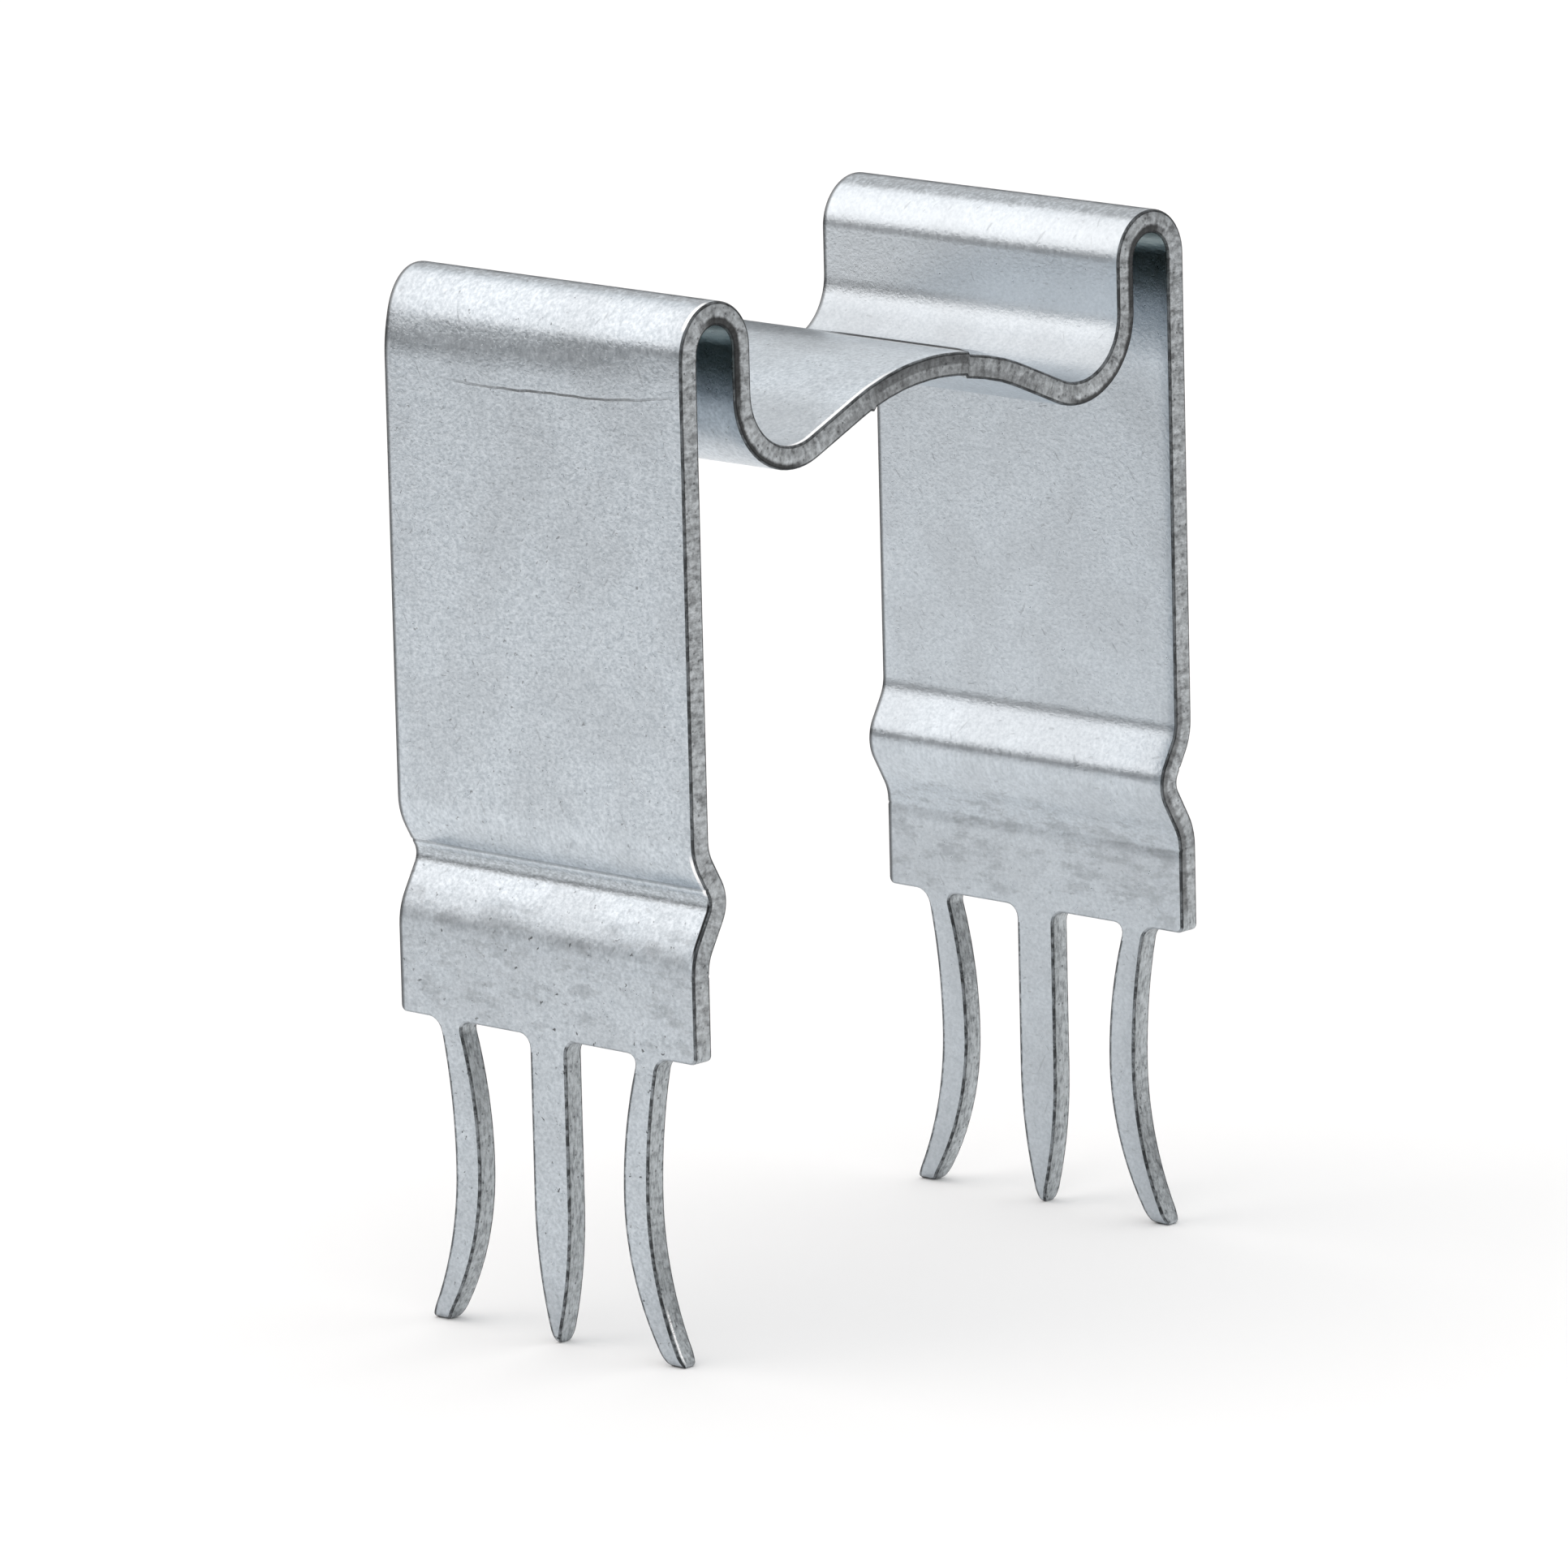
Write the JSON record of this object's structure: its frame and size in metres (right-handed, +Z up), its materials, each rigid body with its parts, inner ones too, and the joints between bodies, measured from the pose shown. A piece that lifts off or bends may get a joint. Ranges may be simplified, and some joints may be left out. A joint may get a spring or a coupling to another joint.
{
  "type": "conduit clip",
  "caption": "Spring-steel conduit clip bent from one strip, with hairpin shoulders, a sprung bridge, beaded legs and pointed prongs along each foot.",
  "frame": {"origin": "midway between the legs, in the middle of the strip's width, on the plane of the prong tips", "axes": "+X from leg to leg, +Y along the conduit that lies in the clip, +Z up from the prong tips to the hairpins"},
  "size_m": [0.0218, 0.0116, 0.0307],
  "materials": {
    "galvanised_steel": "hot-dip galvanised sheet, matte light bluish grey with a fine spangle, brighter at the bends and darker on the sheared edges"
  },
  "bodies": {
    "root": {"clip": "galvanised_steel"}
  },
  "joints": []
}
